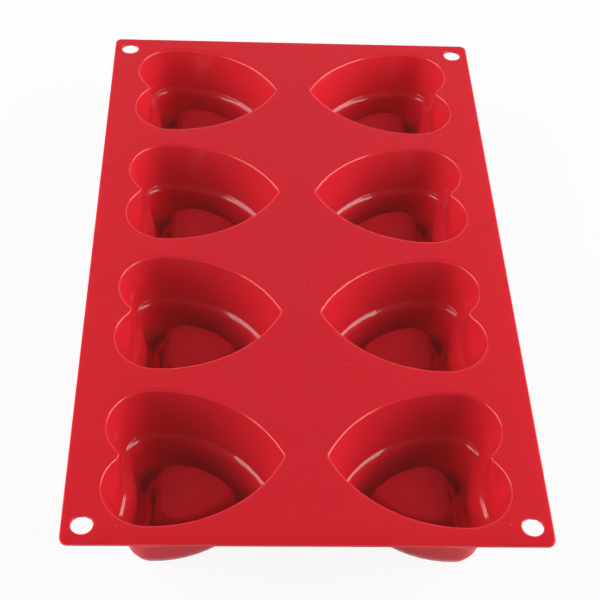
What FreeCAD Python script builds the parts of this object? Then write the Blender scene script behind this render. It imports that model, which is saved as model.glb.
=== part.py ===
import FreeCAD, Part
import math
import os

# Heart baking mould, moulded in silicone as one piece: a thin flat sheet with a hole near each
# corner, and heart-shaped cups that hang below it in rows, tip to tip. Each cup has a drafted
# wall with a small sloping ledge half way down, a cleft that is sharp at the rim and opens out
# below it, and a hollow heart-shaped core that rises from the floor.
# Millimetres. X runs across the sheet, Y along it, Z up. The cups stand on z = 0.

# sheet
sheet_width = 175.0
sheet_length = 300.0
sheet_thickness = 1.4
corner_radius = 3.0
hole_diameter = 8.0
hole_side_inset = 7.5
hole_end_inset = 8.0

# pattern of cups, two to a row with their tips facing
rows = 4
row_pitch = 74.0
tip_gap = 16.6

# cup: the outline of its rim, then how far each band of its wall goes in and down
wall = 1.4
rim = dict(length=66.3, lobe_radius=17.5, lobe_spread=14.0, side_radius=53.0, tip_radius=3.5,
           cleft_radius=2.4)
upper_inset = 5.6
upper_depth = 19.0
ledge_inset = 2.0
ledge_depth = 1.9
lower_inset = 1.8
lower_depth = 12.1
corner_inset = 2.2
corner_depth = 3.0
cleft_ease = 13.0

# core: the outline of its top, which flares down to the cup's floor
core = dict(length=29.0, lobe_radius=7.7, lobe_spread=5.5, side_radius=30.0, tip_radius=3.6,
            cleft_radius=24.0)
core_height = 14.0
core_flare = 1.6

cup_depth = upper_depth + ledge_depth + lower_depth + corner_depth
sheet_top = cup_depth + wall


def arc(centre, radius, start, end):
    """A circular edge from one angle to another, in radians."""
    def at(angle):
        return centre + FreeCAD.Vector(radius * math.cos(angle), radius * math.sin(angle), 0)
    return Part.Arc(at(start), at((start + end) / 2), at(end)).toShape()


def heart(shape, inset, grow, ease, z):
    """The eight arcs of a heart at height z, all tangent, tip towards +X and centred on x = 0.

    The inset moves the lobes, sides and cleft in about their own centres, and slides the tip's
    arc along the axis with its radius kept, so the tip never comes to a point. Growing the heart
    then moves every arc out about the centre that it has. The ease is added to the cleft's radius.
    A short arc on each side of the cleft belongs to the lobe's circle at a sharp cleft and to the
    cleft's own circle at an eased one, so the wall between the two turns over smoothly.
    """
    lobe = FreeCAD.Vector(shape["lobe_radius"] - shape["length"] / 2, shape["lobe_spread"], z)
    tip = FreeCAD.Vector(shape["length"] / 2 - shape["tip_radius"], 0, z)
    cleft_reach = shape["lobe_radius"] + shape["cleft_radius"] + ease
    cleft = FreeCAD.Vector(lobe.x - math.sqrt(cleft_reach ** 2 - lobe.y ** 2), 0, z)

    # a side arc holds the lobe's and the tip's circles inside it, so its centre is past the axis
    span = tip - lobe
    to_lobe = shape["side_radius"] - shape["lobe_radius"]
    to_tip = shape["side_radius"] - shape["tip_radius"]
    along = (to_lobe ** 2 - to_tip ** 2 + span.Length ** 2) / (2 * span.Length)
    aside = math.sqrt(to_lobe ** 2 - along ** 2)
    across = FreeCAD.Vector(span.y, -span.x, 0)
    side = lobe + span * (along / span.Length) + across * (aside / span.Length)
    tip.x = side.x + math.sqrt((to_tip - inset) ** 2 - side.y ** 2)

    at_tip = math.atan2(-side.y, tip.x - side.x)
    at_lobe = math.atan2(lobe.y - side.y, lobe.x - side.x)
    at_cleft = math.asin(lobe.y / cleft_reach)
    at_ease = math.asin(lobe.y / (shape["lobe_radius"] + shape["cleft_radius"] + cleft_ease))
    move = grow - inset
    lobe_radius = shape["lobe_radius"] + move
    cleft_radius = shape["cleft_radius"] + ease - move
    if ease:
        shoulder = arc(cleft, cleft_radius, at_cleft, at_cleft / 4)
        at_cleft /= 4
    else:
        shoulder = arc(lobe, lobe_radius, math.pi + at_ease, math.pi + at_cleft)
    half = [
        arc(side, shape["side_radius"] + move, at_tip, at_lobe),
        arc(lobe, lobe_radius, at_lobe, math.pi + at_ease),
        shoulder,
    ]
    mirrored = [edge.mirror(FreeCAD.Vector(), FreeCAD.Vector(0, 1, 0)) for edge in half[::-1]]
    return [
        arc(tip, shape["tip_radius"] + grow, -at_tip, at_tip),
        *half,
        arc(cleft, cleft_radius, at_cleft, -at_cleft),
        *mirrored,
    ]


def strip(above, below):
    """The ruled face between two arcs, weighted so that its points pair up evenly along both."""
    surface = Part.makeRuledSurface(above, below).Surface
    evenness = above.Length / below.Length
    for pole, weights in enumerate(surface.getWeights(), start=1):
        surface.setWeight(pole, 2, weights[1] * evenness)
    starts, ends = [[edge.firstVertex(True).Point, edge.lastVertex(True).Point] for edge in (above, below)]
    if starts[0].distanceToPoint(ends[0]) > starts[0].distanceToPoint(ends[1]):
        ends.reverse()
    sides = [Part.makeLine(start, end) for start, end in zip(starts, ends)]
    face = Part.Face(surface, Part.Wire(Part.__sortEdges__([above, sides[1], below, sides[0]])))
    face.validate()
    return face


def stack(shape, levels, top):
    """The solid through a heart at each (inset, grow, ease, depth), depths measured from the top."""
    outlines = [heart(shape, inset, grow, ease, top - depth) for inset, grow, ease, depth in levels]
    faces = [Part.Face(Part.Wire(outlines[0])), Part.Face(Part.Wire(outlines[-1]))]
    for above, below in zip(outlines, outlines[1:]):
        faces.extend(strip(*pair) for pair in zip(above, below))
    shell = Part.makeShell(faces)
    shell.sewShape(0.001)
    solid = Part.Solid(shell.Shells[0])
    if solid.Volume < 0:
        solid.reverse()
    return solid


def wall_profile():
    """The cup's inside as (inset, depth) corners, from the rim to the edge of the floor."""
    bands = [
        (upper_inset, upper_depth),
        (ledge_inset, ledge_depth),
        (lower_inset, lower_depth),
        (corner_inset, corner_depth),
    ]
    corners = [(0.0, 0.0)]
    for inset, depth in bands:
        corners.append((corners[-1][0] + inset, corners[-1][1] + depth))
    return corners


def outside(corners, thickness):
    """Levels of a wall's outer face: each band and the floor move out square to themselves."""
    normals = []
    for (inset, depth), (next_inset, next_depth) in zip(corners, corners[1:]):
        size = math.hypot(next_inset - inset, next_depth - depth)
        normals.append(((next_depth - depth) / size, (next_inset - inset) / size))
    normals.append((0.0, 1.0))
    levels = [(corners[0][0], thickness / normals[0][0], 0.0, corners[0][1])]
    for (inset, depth), above, below in zip(corners[1:], normals, normals[1:]):
        share = thickness / (1 + above[0] * below[0] + above[1] * below[1])
        grow, drop = share * (above[0] + below[0]), share * (above[1] + below[1])
        levels.append((inset, grow, cleft_ease, depth + drop))
    return levels


def make_core():
    """The core as it stands in the cup, and the hollow below it."""
    core_depth = cup_depth - core_height
    body = stack(core, [(0.0, 0.0, 0.0, core_depth), (0.0, core_flare, 0.0, cup_depth)], sheet_top)
    side_wall = wall * math.hypot(core_height, core_flare) / core_height
    flare_rate = core_flare / core_height
    hollow = stack(core, [
        (side_wall, flare_rate * wall, 0.0, core_depth + wall),
        (side_wall, flare_rate * (core_height + wall), 0.0, cup_depth + wall),
    ], sheet_top)
    return body, hollow


def make_cup():
    """One cup's outer body with the core's hollow cut out, and the cavity that baking fills."""
    corners = wall_profile()
    body = stack(rim, outside(corners, wall), sheet_top)
    eases = [0.0] + [cleft_ease] * (len(corners) - 1)
    inner = [(inset, 0.0, ease, depth) for (inset, depth), ease in zip(corners, eases)]
    inside = stack(rim, inner, sheet_top)
    core_body, hollow = make_core()
    return body.cut(hollow), inside.cut(core_body)


def make_sheet():
    """The flat sheet with rounded corners and a hole through each."""
    corner = FreeCAD.Vector(-sheet_width / 2, -sheet_length / 2, sheet_top - sheet_thickness)
    sheet = Part.makeBox(sheet_width, sheet_length, sheet_thickness, corner)
    upright = [edge for edge in sheet.Edges if abs(edge.tangentAt(edge.FirstParameter).z) > 0.5]
    sheet = sheet.makeFillet(corner_radius, upright)
    hole_x = sheet_width / 2 - hole_side_inset
    hole_y = sheet_length / 2 - hole_end_inset
    for x in (-hole_x, hole_x):
        for y in (-hole_y, hole_y):
            start = FreeCAD.Vector(x, y, sheet_top - sheet_thickness)
            sheet = sheet.cut(Part.makeCylinder(hole_diameter / 2, sheet_thickness, start))
    return sheet


def place_all(shape):
    """Copies of a cup's shape at every place, with the tips towards the sheet's middle."""
    centre_x = (tip_gap + rim["length"]) / 2
    copies = []
    for row in range(rows):
        y = (row - (rows - 1) / 2) * row_pitch
        for turn, x in ((0, -centre_x), (180, centre_x)):
            copy = shape.copy()
            copy.rotate(FreeCAD.Vector(), FreeCAD.Vector(0, 0, 1), turn)
            copy.translate(FreeCAD.Vector(x, y, 0))
            copies.append(copy)
    return copies


def make_mould():
    cup, cavity = make_cup()
    mould = make_sheet().multiFuse(place_all(cup))
    return mould.cut(place_all(cavity)).removeSplitter()


os.makedirs("parts", exist_ok=True)
mould = make_mould().Solids[0]
mould.exportStep("parts/heart_mould.step")
print("faces", len(mould.Faces), "valid", mould.isValid(), "volume", round(mould.Volume), "mm3")
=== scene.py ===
import math

import bmesh
import bpy
import numpy as np
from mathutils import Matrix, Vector


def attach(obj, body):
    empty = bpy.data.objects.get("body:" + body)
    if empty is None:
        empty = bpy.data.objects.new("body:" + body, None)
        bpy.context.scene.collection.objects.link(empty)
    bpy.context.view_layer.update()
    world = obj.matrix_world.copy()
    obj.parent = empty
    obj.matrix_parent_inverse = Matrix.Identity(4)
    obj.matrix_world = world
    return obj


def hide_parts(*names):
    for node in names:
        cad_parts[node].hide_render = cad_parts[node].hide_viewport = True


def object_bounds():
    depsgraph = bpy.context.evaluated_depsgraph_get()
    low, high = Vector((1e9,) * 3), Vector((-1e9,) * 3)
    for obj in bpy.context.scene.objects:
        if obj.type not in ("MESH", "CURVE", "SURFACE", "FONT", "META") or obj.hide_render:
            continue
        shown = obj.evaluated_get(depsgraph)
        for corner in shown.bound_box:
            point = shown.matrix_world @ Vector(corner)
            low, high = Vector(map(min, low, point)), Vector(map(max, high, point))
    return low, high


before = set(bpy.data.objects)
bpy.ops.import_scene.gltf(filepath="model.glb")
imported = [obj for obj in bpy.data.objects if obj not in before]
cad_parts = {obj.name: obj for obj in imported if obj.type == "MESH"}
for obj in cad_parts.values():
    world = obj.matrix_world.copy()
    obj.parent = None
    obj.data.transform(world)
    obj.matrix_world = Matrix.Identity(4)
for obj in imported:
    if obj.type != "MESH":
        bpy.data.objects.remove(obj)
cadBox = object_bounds()

mm = 0.001
sheetWidth = (cadBox[1].x - cadBox[0].x) / mm
sheetLength = (cadBox[1].y - cadBox[0].y) / mm
sheetTop = cadBox[1].z / mm
print("frame loaded, sheet", round(sheetWidth, 1), "by", round(sheetLength, 1), "mm")

# The mould's section and outlines, in millimetres. Insets go in from the rim's outline, and depths
# go down from the sheet's top.
cup = dict(
    rows=4, rowPitch=74.0, tipGap=16.6, wall=1.4,
    length=66.3, lobeRadius=17.5, lobeSpread=14.0, sideRadius=53.0, tipRadius=3.5, cleftRadius=2.4,
    creaseInset=5.6, creaseDepth=19.0,      # where the upper wall meets the ledge
    ledgeInset=7.7, ledgeDepth=20.45,       # the ledge's inner edge
    tiltReach=20.0, lobeTilt=-0.1, tipTilt=0.35,     # how much lower that edge is, lobes to tip
    footInset=9.3, footDepth=32.4,          # where the lower wall turns into the groove
    floorInset=11.0, floorDepth=36.0, grooveShape=3,
    rimLead=1.5, rimRound=0.9, creaseRound=0.3, ledgeRound=1.5,
    easeDepth=(0.0, 2.5, 5.0, 10.0, 15.0, 19.0, 20.5, 26.0, 32.4),
    ease=(0.0, 2.2, 5.0, 13.0, 32.0, 70.0, 70.0, 36.0, 18.0),     # the cleft opens out below the rim
)
core = dict(
    length=29.0, lobeRadius=7.7, lobeSpread=5.5, sideRadius=30.0, tipRadius=3.6, cleftRadius=24.0,
    height=14.0, flare=1.6, edgeRound=2.4, lead=1.0, dome=0.5,
)
under = dict(
    rounds=(0.3, 1.2, 0.5, 1.4, 1.0),       # under the sheet, crease, ledge, foot and floor
    hollowRounds=(0.5, 0.8), lead=0.6, hollowLead=1.2,
)
sheet = dict(
    thickness=1.4, edgeRound=0.45, cornerRadius=3.0,
    holeDiameter=8.0, holeSide=7.5, holeEnd=8.0, holeRound=0.35, holeLead=0.3, holeReach=5.6,
    droop=0.45, droopReach=6.0,             # the front edge hangs down a little
)
steps = dict(tip=5, side=10, lobe=20, cleft=6)       # columns along half a heart
columns = 2 * sum(steps.values())
holeSteps = dict(left=7, corner=6, end=6)            # columns round the outside of a hole's square
rows = dict(patch=6, patchEven=0.8, wallGap=2.6, underGap=3.4, groove=10, dome=8, hollow=5,
            quarter=5, hole=3)


def heart(shape, inset, grow=0.0, ease=0.0):
    # Six tangent arcs, tip towards +X. An inset shrinks the lobes, sides and cleft about their own
    # centres and slides the tip's arc along the axis; grow then swells every arc about its centre,
    # and ease widens the cleft's arc, which stays tangent to the lobes.
    # Takes one inset and grow a level, gives x and y with a row a level and a column a step.
    inset, grow, ease = np.broadcast_arrays(
        *[np.atleast_1d(v)[:, None] * 1.0 for v in (inset, grow, ease)])
    lobeX, lobeY = shape["lobeRadius"] - shape["length"] / 2, shape["lobeSpread"]
    cleftX = lobeX - np.sqrt((shape["lobeRadius"] + shape["cleftRadius"] + ease) ** 2 - lobeY ** 2)
    spanX, spanY = shape["length"] / 2 - shape["tipRadius"] - lobeX, -lobeY
    span = math.hypot(spanX, spanY)
    toLobe = shape["sideRadius"] - shape["lobeRadius"]
    toTip = shape["sideRadius"] - shape["tipRadius"]
    along = (toLobe ** 2 - toTip ** 2 + span ** 2) / (2 * span)
    aside = math.sqrt(toLobe ** 2 - along ** 2)
    sideX = lobeX + spanX * along / span + spanY * aside / span
    sideY = lobeY + spanY * along / span - spanX * aside / span
    tipX = sideX + np.sqrt((toTip - inset) ** 2 - sideY ** 2)
    atTip = np.arctan2(-sideY, tipX - sideX)
    atLobe = math.atan2(lobeY - sideY, lobeX - sideX)
    atCleft = np.arctan2(lobeY, lobeX - cleftX)
    move = grow - inset

    def arc(x, y, radius, start, end, count):
        turn = start + (end - start) * np.arange(count) / count
        return np.stack([x + radius * np.cos(turn), y + radius * np.sin(turn)])

    cleftRadius = shape["cleftRadius"] + ease - move
    half = np.concatenate([
        arc(tipX, 0.0, shape["tipRadius"] + grow, 0.0, atTip, steps["tip"]),
        arc(sideX, sideY, shape["sideRadius"] + move, atTip, atLobe, steps["side"]),
        arc(lobeX, lobeY, shape["lobeRadius"] + move, atLobe, math.pi + atCleft, steps["lobe"]),
        arc(cleftX, 0.0, cleftRadius, atCleft, 0.0, steps["cleft"]),
    ], axis=2)
    notch = np.stack([cleftX + cleftRadius, 0.0 * move])
    mirrored = half[:, :, :0:-1] * np.array([1, -1])[:, None, None]
    return np.concatenate([half, notch, mirrored], axis=2)


def roundedPath(corners, cuts, count=6, support=0.35):
    # Walks a line of corners and rounds each with a parabola that starts and ends a cut away from
    # it; a support row just outside each round keeps the straight stretches flat in the shading.
    corners = np.array(corners, float)
    path = [corners[:1]]
    for before, at, after, cut in zip(corners, corners[1:], corners[2:], cuts):
        back, ahead = before - at, after - at
        back, ahead = back / np.linalg.norm(back), ahead / np.linalg.norm(ahead)
        t = np.linspace(0, 1, count + 1)[:, None]
        path.append(at + back * (cut + support))
        path.append(at + back * cut * (1 - t) ** 2 + ahead * cut * t ** 2)
        path.append(at + ahead * (cut + support))
    path.append(corners[-1:])
    return np.vstack(path)


def withRows(path, gap):
    # Adds rows to a path's long straight stretches, for a cleft that changes along them.
    filled = [path[:1]]
    for start, end in zip(path, path[1:]):
        count = max(1, round((end[2] - start[2]) / gap))
        t = np.arange(1, count + 1)[:, None] / count
        filled.append(start * (1 - t) + end * t)
    return np.vstack(filled)


def offsetCorners(corners, thickness):
    # The wall's outer face: every stretch moves out square to itself, and mitres meet at corners.
    corners = np.array(corners, float)
    run = np.diff(corners, axis=0)
    run = np.vstack([run / np.linalg.norm(run, axis=1)[:, None], [1.0, 0.0]])
    normal = np.stack([run[:, 1], run[:, 0]], axis=1)
    above, below = np.vstack([normal[:1], normal[:-1]]), normal
    share = thickness / (1 + (above * below).sum(axis=1))
    mitre = share[:, None] * (above + below)
    return np.stack([corners[:, 0], mitre[:, 0], corners[:, 1] + mitre[:, 1]], axis=1)


def coreLevels(path):
    # Turns a path of (inset, grow, depth) into rows of points round the core's heart.
    plan = heart(core, path[:, 0], path[:, 1])
    height = np.broadcast_to((sheetTop - path[:, 2])[:, None], plan[0].shape)
    return np.stack([plan[0], plan[1], height], axis=2)


def cupLevels(path):
    # The same round the cup's heart, with the cleft opened out by the depth. The ledge's inner edge
    # is lowered along the cup, and the wall above and below it follows in proportion.
    plan = heart(cup, path[:, 0], path[:, 1], np.interp(path[:, 2], cup["easeDepth"], cup["ease"]))
    ledge = cup["creaseDepth"], cup["ledgeDepth"], cup["footDepth"]
    share = np.interp(path[:, 2], ledge, (0, 1, 0))[:, None]
    reach = cup["tiltReach"]
    tilt = np.interp(plan[0], (-reach, reach), (cup["lobeTilt"], cup["tipTilt"]))
    return np.stack([plan[0], plan[1], (sheetTop - path[:, 2])[:, None] - share * tilt], axis=2)


def pinTo(direction):
    # The column whose point on the rim lies nearest to a direction from the cup's middle.
    outline = heart(cup, 0.0)[:, 0, :]
    angle = np.degrees(np.arctan2(outline[1], outline[0]))[: columns // 2]
    return int(np.argmin(abs(angle - direction)))


pins = dict(corner=pinTo(41.8), lobe=pinTo(141.2),
            notchA=pinTo(128.1), notchB=pinTo(143.0), notchC=pinTo(154.0))


def cellEdge(kind):
    # The straight-sided patch of sheet that belongs to one cup, as the point that each column runs
    # to. Its corners are pinned to the columns that point at them, so neighbours share vertices.
    # At a corner of the sheet a square is left out for the hole.
    edge = sheet["edgeRound"]
    toOuter = (sheetWidth - cup["tipGap"] - cup["length"]) / 2 - edge
    toMiddle = (cup["tipGap"] + cup["length"]) / 2
    toRow = cup["rowPitch"] / 2
    toEnd = (sheetLength - (cup["rows"] - 1) * cup["rowPitch"]) / 2 - edge
    holeX = sheet["holeSide"] + sheet["holeReach"] - toOuter - edge
    holeY = toEnd + edge - sheet["holeEnd"] - sheet["holeReach"]
    high = toEnd if kind == "high" else toRow
    low = toEnd if kind == "low" else toRow
    plain = {pins["corner"]: (toMiddle, high), pins["lobe"]: (-toOuter, high),
             columns - pins["lobe"]: (-toOuter, -low), columns - pins["corner"]: (toMiddle, -low)}
    if kind == "high":
        del plain[pins["lobe"]]
        plain.update({pins["notchA"]: (holeX, high), pins["notchB"]: (holeX, holeY),
                      pins["notchC"]: (-toOuter, holeY)})
    if kind == "low":
        del plain[columns - pins["lobe"]]
        plain.update({columns - pins["notchA"]: (holeX, -low),
                      columns - pins["notchB"]: (holeX, -holeY),
                      columns - pins["notchC"]: (-toOuter, -holeY)})
    at = sorted(plain)
    step = np.arange(columns)
    return np.stack([np.interp(step, at, [plain[k][axis] for k in at], period=columns)
                     for axis in (0, 1)])


def patch(plan, rim, top):
    # Rows of flat sheet from a cell's edge to the outline that the cup starts from, closer there.
    t = np.linspace(0, 1, rows["patch"] + 1)[:-1, None] ** rows["patchEven"]
    return np.stack([plan[0] * (1 - t) + rim[0] * t, plan[1] * (1 - t) + rim[1] * t,
                     np.full((rows["patch"], columns), top)], axis=2)


def shrinkIn(outline, count, dome=0.0):
    # Rings that close a heart on its middle, raised as a parabola to the height of the dome.
    t = np.linspace(1, 0, count + 1)[1:, None]
    height = outline[:, 2] + dome * (1 - t ** 2)
    return np.stack([outline[:, 0] * t, outline[:, 1] * t, height], axis=2)


def innerSkin(plan):
    # From the cell's edge over the rim, down the wall and its ledge, through the groove round the
    # core, up the core's flank and over its edge to the middle of its domed top.
    wallPath = roundedPath(
        [(-cup["rimLead"], 0.0, 0.0), (0.0, 0.0, 0.0), (cup["creaseInset"], 0.0, cup["creaseDepth"]),
         (cup["ledgeInset"], 0.0, cup["ledgeDepth"]), (cup["footInset"], 0.0, cup["footDepth"])],
        [cup["rimRound"], cup["creaseRound"], cup["ledgeRound"]], support=0.1)
    wall = cupLevels(withRows(wallPath, rows["wallGap"]))

    coreTop = cup["floorDepth"] - core["height"]
    rate = core["flare"] / core["height"]
    flank = coreLevels(roundedPath(
        [(0.0, rate * (cup["footDepth"] - coreTop), cup["footDepth"]), (0.0, 0.0, coreTop),
         (core["edgeRound"] + core["lead"], 0.0, coreTop)], [core["edgeRound"]]))

    t = np.linspace(0, 1, rows["groove"] + 2)[1:-1, None, None]      # a deep round-cornered trough
    groove = wall[-1] * (1 - t) + flank[0] * t
    drop = cup["floorDepth"] - cup["footDepth"]
    groove[:, :, 2] -= drop * (1 - abs(2 * t[:, :, 0] - 1) ** cup["grooveShape"])
    top = shrinkIn(flank[-1], rows["dome"], core["dome"])
    return np.vstack([patch(plan, wall[0].T, sheetTop), wall, groove, flank, top])


def outerSkin(plan):
    # The same walk on the underside, a wall's thickness away, then up into the hollow core.
    inner = [(0.0, 0.0), (cup["creaseInset"], cup["creaseDepth"]),
             (cup["ledgeInset"], cup["ledgeDepth"]), (cup["footInset"], cup["footDepth"]),
             (cup["floorInset"], cup["floorDepth"])]
    outer = offsetCorners(inner, cup["wall"])
    outer[0] += (outer[1] - outer[0]) * sheet["thickness"] / outer[1, 2]     # starts under the sheet
    start = outer[0] + [0.0, under["lead"], 0.0]
    outer = np.vstack([start, outer, outer[-1] + [under["lead"], 0.0, 0.0]])
    outerPath = roundedPath(outer, under["rounds"], count=4, support=0.2)
    wall = cupLevels(withRows(outerPath, rows["underGap"]))

    coreTop = cup["floorDepth"] - core["height"] + cup["wall"]
    rate = core["flare"] / core["height"]
    side = cup["wall"] * math.hypot(core["height"], core["flare"]) / core["height"]
    base, foot = cup["floorDepth"] + cup["wall"], rate * (core["height"] + cup["wall"])
    hollow = [(side, foot + under["lead"], base), (side, foot, base),
              (side, rate * cup["wall"], coreTop),
              (side + under["hollowLead"], rate * cup["wall"], coreTop)]
    hollowPath = roundedPath(hollow, under["hollowRounds"], count=4, support=0.2)
    hollow = coreLevels(hollowPath[1:])
    top = shrinkIn(hollow[-1], rows["hollow"])
    return np.vstack([patch(plan, wall[0].T, sheetTop - sheet["thickness"]), wall, hollow, top])


def gridFaces(rowCount, columnCount, flip=False):
    # Quads between the rows of a grid whose columns run round a loop.
    index = np.arange(rowCount * columnCount).reshape(rowCount, columnCount)
    turned = np.roll(index, -1, axis=1)
    quads = np.stack([index[:-1], index[1:], turned[1:], turned[:-1]], axis=2).reshape(-1, 4)
    return quads[:, ::-1] if flip else quads


def quarterTurns(soft):
    # How far out and down a sheet's rounded edge lies, from its top face round to its underside.
    quarter = np.linspace(0, math.pi / 2, rows["quarter"])
    out = soft * np.concatenate([np.sin(quarter), np.cos(quarter)])
    down = np.concatenate([soft * (1 - np.cos(quarter)),
                           sheet["thickness"] - soft * (1 - np.sin(quarter))])
    return out, down


def holePatch():
    # The square of sheet round one hole, top and bottom, and the hole's own wall. Its columns run
    # round the square, and each row is drawn in towards the circle along them.
    edge, corner = sheet["edgeRound"], sheet["cornerRadius"] - sheet["edgeRound"]
    reachX, reachY = sheet["holeSide"] - edge, sheet["holeEnd"] - edge
    inner = sheet["holeReach"]
    shared = pins["notchB"] - pins["notchA"], pins["notchC"] - pins["notchB"]

    def run(start, end, count):
        t = np.arange(count)[:, None] / count
        return np.array(start) * (1 - t) + np.array(end) * t

    turn = np.linspace(math.pi, math.pi / 2, holeSteps["corner"] + 1)[:-1, None]
    square = np.vstack([
        run((inner, reachY), (inner, -inner), shared[0]),
        run((inner, -inner), (-reachX, -inner), shared[1]),
        run((-reachX, -inner), (-reachX, reachY - corner), holeSteps["left"]),
        np.hstack([corner - reachX + corner * np.cos(turn), reachY - corner + corner * np.sin(turn)]),
        run((corner - reachX, reachY), (inner, reachY), holeSteps["end"]),
    ])
    circle = square / np.hypot(square[:, 0], square[:, 1])[:, None]
    soft = sheet["holeRound"]
    start = sheet["holeDiameter"] / 2 + soft
    out, down = quarterTurns(soft)
    near = start + sheet["holeLead"]        # a support ring outside the round
    flat = [square * (1 - t) + circle * near * t for t in np.linspace(0, 1, rows["hole"] + 1)]
    rings = [*flat, *[circle * (start - o) for o in out], *flat[::-1]]
    depth = [0.0] * len(flat) + list(down) + [sheet["thickness"]] * len(flat)
    grid = np.stack([np.column_stack([ring, np.full(len(ring), sheetTop - d)])
                     for ring, d in zip(rings, depth)])
    return grid + [sheet["holeSide"] - sheetWidth / 2, sheetLength / 2 - sheet["holeEnd"], 0.0]


def edgeStrip(outline):
    # The sheet's rounded edge: its outline moved out square to itself and down, a row a step.
    outline = outline[np.argsort(np.arctan2(outline[:, 1], outline[:, 0]))]
    ahead = np.roll(outline, -1, axis=0) - np.roll(outline, 1, axis=0)
    away = np.column_stack([ahead[:, 1], -ahead[:, 0]]) / np.hypot(ahead[:, 0], ahead[:, 1])[:, None]
    return np.stack([np.column_stack([outline + away * o, np.full(len(outline), sheetTop - d)])
                     for o, d in zip(*quarterTurns(sheet["edgeRound"]))])


def buildMould():
    # Eight cells with a cup each, four squares with a hole each, and the edge all round.
    points, faces, corners = [], [], 0

    def add(grid, flip):
        nonlocal corners
        points.append(grid.reshape(-1, 3))
        faces.append(gridFaces(grid.shape[0], grid.shape[1], flip) + corners)
        corners += grid.shape[0] * grid.shape[1]

    centreX = (cup["tipGap"] + cup["length"]) / 2
    rims = []
    for row in range(cup["rows"]):
        y = (row - (cup["rows"] - 1) / 2) * cup["rowPitch"]
        plan = cellEdge({0: "low", cup["rows"] - 1: "high"}.get(row, "middle"))
        for grid, flip in ((innerSkin(plan), False), (outerSkin(plan), True)):
            add(grid + [-centreX, y, 0.0], flip)
            add(grid * [-1, -1, 1] + [centreX, -y, 0.0], flip)
        rims.append(plan.T + [-centreX, y])
    hole = holePatch()
    for mirror in ((1, 1), (-1, -1), (1, -1), (-1, 1)):
        add(hole * [mirror[0], mirror[1], 1], mirror[0] * mirror[1] > 0)
    rims.append(hole[0, :, :2])
    rims.append(hole[0, :, :2] * [1, -1])

    outline = np.vstack(rims)
    outline = np.round(np.vstack([outline, -outline]), 5)
    halfX, halfY = sheetWidth / 2 - sheet["edgeRound"], sheetLength / 2 - sheet["edgeRound"]
    near = 0.001
    onEdge = (abs(outline[:, 0]) > halfX - near) | (abs(outline[:, 1]) > halfY - near)
    cornerX = sheetWidth / 2 - sheet["cornerRadius"]
    cornerY = sheetLength / 2 - sheet["cornerRadius"]
    onEdge |= (abs(outline[:, 0]) > cornerX) & (abs(outline[:, 1]) > cornerY)
    add(edgeStrip(np.unique(outline[onEdge], axis=0)), True)

    # The front edge droops as the square of how far a point lies past the start of the droop.
    points = np.vstack(points)
    past = np.clip(sheet["droopReach"] - sheetLength / 2 - points[:, 1], 0, None)
    inSheet = points[:, 2] > sheetTop - 2 * sheet["thickness"]
    points[:, 2] -= sheet["droop"] * (past / sheet["droopReach"]) ** 2 * inSheet
    return points, np.vstack(faces)


def meshObject(name, points, faces, material):
    # Merges what the cells share, so that the mould is one closed shell with its faces outward.
    mesh = bpy.data.meshes.new(name)
    mesh.from_pydata(points.tolist(), [], faces.tolist())
    work = bmesh.new()
    work.from_mesh(mesh)
    bmesh.ops.remove_doubles(work, verts=work.verts, dist=0.004 * mm)
    bmesh.ops.recalc_face_normals(work, faces=work.faces)
    openEdges = sum(1 for edge in work.edges if len(edge.link_faces) != 2)
    work.to_mesh(mesh)
    work.free()
    mesh.polygons.foreach_set("use_smooth", np.ones(len(mesh.polygons), bool))
    mesh.materials.append(material)
    piece = bpy.data.objects.new(name, mesh)
    bpy.context.scene.collection.objects.link(piece)
    print(name, len(mesh.vertices), "vertices,", len(mesh.polygons), "faces,", openEdges, "open edges")
    return piece


class Socket:
    # Wraps a node's output, so that sums, products and comparisons of sockets add Math nodes.
    def __init__(self, tree, link):
        self.tree, self.link = tree, link

    def maths(self, operation, first, second):
        return addNode(self.tree, "ShaderNodeMath", {"operation": operation}, {0: first, 1: second})

    def __add__(self, other): return self.maths("ADD", self, other)
    def __radd__(self, other): return self.maths("ADD", other, self)
    def __sub__(self, other): return self.maths("SUBTRACT", self, other)
    def __rsub__(self, other): return self.maths("SUBTRACT", other, self)
    def __mul__(self, other): return self.maths("MULTIPLY", self, other)
    def __rmul__(self, other): return self.maths("MULTIPLY", other, self)
    def __lt__(self, other): return self.maths("LESS_THAN", self, other)
    def __gt__(self, other): return self.maths("GREATER_THAN", self, other)


def addNode(tree, kind, settings=None, values=None, output=0):
    node = tree.nodes.new(kind)
    for name, value in (settings or {}).items():
        setattr(node, name, value)
    for name, value in (values or {}).items():
        if isinstance(value, Socket):
            tree.links.new(value.link, node.inputs[name])
        else:
            node.inputs[name].default_value = value
    return Socket(tree, node.outputs[output])


def newMaterial(name):
    material = bpy.data.materials.new(name)
    material.use_nodes = True
    material.node_tree.nodes.clear()
    return material, material.node_tree


def axisOf(vector, axis):
    # A vector's share along X, Y or Z.
    return addNode(vector.tree, "ShaderNodeSeparateXYZ", {}, {0: vector}, "XYZ".index(axis))


dust = dict(spacing=17.0, size=0.28, share=0.30, depth=0.1,
            colour=(0.75, 0.22, 0.26), strength=0.55)
silicone = dict(
    red=(0.605, 0.0085, 0.0205), rough=0.50, specular=0.10, ior=1.42,
    soft=1.0, deep=3.3, reach=(1.0, 0.2, 0.25),     # how far red, green and blue light go in it
    paintedGlow=0.006,                                     # painted light: a faint white glow over the whole mould that lifts its darkest shades
    gloss=0.07, glossFrom=17.2, mattBelow=15.5, underGloss=0.25, facingDown=-0.02,
)


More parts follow.
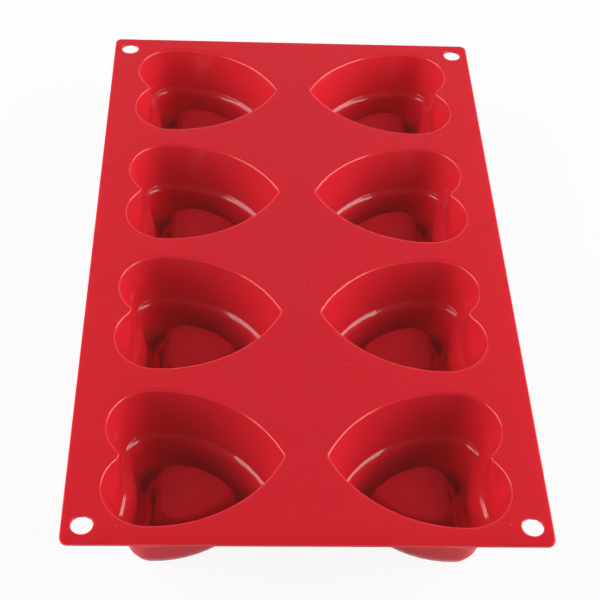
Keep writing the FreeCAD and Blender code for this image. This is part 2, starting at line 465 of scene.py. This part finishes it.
def siliconeMaterial():
    # Glossy on the sheet, the rims and the ledges, less so underneath, and matt on the cores and in
    # the grooves. Light goes into the thin walls and comes out red beside them. A faint white glow is
    # painted light over the whole mould.
    material, tree = newMaterial("redSilicone")
    texture = tree.nodes.new("ShaderNodeTexCoord")
    place = Socket(tree, texture.outputs["Object"])
    height = axisOf(place, "Z")
    coat = addNode(tree, "ShaderNodeMapRange", {"interpolation_type": "SMOOTHSTEP"}, {
        "Value": height,
        "From Min": silicone["mattBelow"] * mm, "From Max": silicone["glossFrom"] * mm})
    underneath = axisOf(Socket(tree, texture.outputs["Normal"]), "Z") < silicone["facingDown"]
    coat = coat + underneath * (silicone["underGloss"] - coat)

    cells = {"voronoi_dimensions": "2D"}       # a few specks of dust lie on the sheet
    grid = {"Vector": place, "Scale": 1 / (dust["spacing"] * mm)}
    near = addNode(tree, "ShaderNodeTexVoronoi", cells, grid, 0)
    chosen = axisOf(addNode(tree, "ShaderNodeTexVoronoi", cells, grid, 1), "X")
    speck = (near < dust["size"] / dust["spacing"]) * (chosen < dust["share"])
    speck = speck * (height > (sheetTop - dust["depth"]) * mm)
    colour = addNode(tree, "ShaderNodeMix", {"data_type": "RGBA"}, {
        0: speck * dust["strength"], 6: (*silicone["red"], 1.0), 7: (*dust["colour"], 1.0)}, 2)

    shader = addNode(tree, "ShaderNodeBsdfPrincipled", {}, {
        "Base Color": colour, "Roughness": silicone["rough"], "IOR": silicone["ior"],
        "Specular IOR Level": silicone["specular"],
        "Coat Weight": coat, "Coat Roughness": silicone["gloss"], "Coat IOR": silicone["ior"],
        "Subsurface Weight": silicone["soft"], "Subsurface Radius": silicone["reach"],
        "Subsurface Scale": silicone["deep"] * mm,
        # The white emission is painted light, a faint glow that lifts the darkest shades.
        "Emission Color": (1, 1, 1, 1), "Emission Strength": silicone["paintedGlow"],
    })
    tree.links.new(shader.link, tree.nodes.new("ShaderNodeOutputMaterial").inputs["Surface"])
    return material


points, faces = buildMould()
mould = meshObject("heartMould", points * mm, faces, siliconeMaterial())
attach(mould, "root")
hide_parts("heart_mould")

# Floor, light and camera, in metres.
room = dict(
    floorSize=6.0, floorWhite=0.86, background=1.0,
    floorSeen=0.92,                           # the rest is paint, which takes the mould's shade
    frontLight=0.07, backLight=0.20, backFrom=0.45, backTo=0.85,
    horizonLight=1.8, horizonFrom=0.06, horizonTo=0.26,
)


def floorMaterial():
    # White to the camera and in reflections, with the mould's shade left on it.
    material, tree = newMaterial("whiteFloor")
    ray = tree.nodes.new("ShaderNodeLightPath")
    seen = Socket(tree, ray.outputs["Is Camera Ray"]) + Socket(tree, ray.outputs["Is Glossy Ray"])
    white = addNode(tree, "ShaderNodeEmission", {}, {
        "Color": (1, 1, 1, 1), "Strength": room["background"]})
    paint = addNode(tree, "ShaderNodeBsdfDiffuse", {}, {"Color": (room["floorWhite"],) * 3 + (1,)})
    both = addNode(tree, "ShaderNodeMixShader", {}, {0: seen * room["floorSeen"], 1: paint, 2: white})
    tree.links.new(both.link, tree.nodes.new("ShaderNodeOutputMaterial").inputs["Surface"])
    return material


half = room["floorSize"] / 2
floorMesh = bpy.data.meshes.new("floor")
floorMesh.from_pydata([(-half, -half, 0), (half, -half, 0), (half, half, 0), (-half, half, 0)],
                      [], [(0, 1, 2, 3)])
floorMesh.materials.append(floorMaterial())
floor = bpy.data.objects.new("floor", floorMesh)
bpy.context.scene.collection.objects.link(floor)

# The room: dim in front, a little brighter behind, with a band of light near the horizon.
world = bpy.data.worlds.new("studio")
bpy.context.scene.world = world
world.use_nodes = True
tree = world.node_tree
tree.nodes.clear()
seen = Socket(tree, tree.nodes.new("ShaderNodeLightPath").outputs["Is Camera Ray"])
sky = Socket(tree, tree.nodes.new("ShaderNodeTexCoord").outputs["Generated"])
wall = addNode(tree, "ShaderNodeMapRange", {}, {
    "Value": axisOf(sky, "Y"), "From Min": room["backFrom"], "From Max": room["backTo"],
    "To Min": room["frontLight"], "To Max": room["backLight"]})
horizon = addNode(tree, "ShaderNodeMapRange", {}, {
    "Value": axisOf(sky, "Z"), "From Min": room["horizonFrom"], "From Max": room["horizonTo"],
    "To Min": room["horizonLight"], "To Max": 0.0})
grey = addNode(tree, "ShaderNodeBackground", {}, {"Color": (1, 1, 1, 1), "Strength": wall + horizon})
white = addNode(tree, "ShaderNodeBackground", {}, {
    "Color": (1, 1, 1, 1), "Strength": room["background"]})
both = addNode(tree, "ShaderNodeMixShader", {}, {0: seen, 1: grey, 2: white})
tree.links.new(both.link, tree.nodes.new("ShaderNodeOutputWorld").inputs["Surface"])

# Two soft boxes, one at each side, that face each other across the mould.
lamps = dict(
    left=dict(place=(-0.80, 0.06, 0.50), aim=(0.0, 0.06, 0.50), size=(0.93, 0.66), watts=10.2),
    right=dict(place=(0.80, 0.03, 0.50), aim=(0.0, 0.03, 0.50), size=(0.99, 0.66), watts=12.6),
)
for name, lamp in lamps.items():
    light = bpy.data.lights.new(name + "Box", "AREA")
    light.shape = "RECTANGLE"
    light.size, light.size_y = lamp["size"]
    light.energy = lamp["watts"]
    box = bpy.data.objects.new(name + "Box", light)
    box.location = lamp["place"]
    towards = Vector(lamp["aim"]) - Vector(lamp["place"])
    box.rotation_euler = towards.to_track_quat("-Z", "Y").to_euler()
    bpy.context.scene.collection.objects.link(box)

camera = dict(lens=82.8, sensor=36.0, place=(-0.0285, -0.4258, 0.4415),
              tilt=44.38, roll=-2.556, pan=-1.457)
cameraData = bpy.data.cameras.new("camera")
cameraData.lens = camera["lens"]
cameraData.sensor_width = camera["sensor"]
cameraObject = bpy.data.objects.new("camera", cameraData)
cameraObject.location = camera["place"]
cameraObject.rotation_euler = [math.radians(camera[turn]) for turn in ("tilt", "roll", "pan")]
bpy.context.scene.collection.objects.link(cameraObject)
bpy.context.scene.camera = cameraObject
bpy.context.scene.view_settings.view_transform = "Standard"
print("room, lamps and camera set")
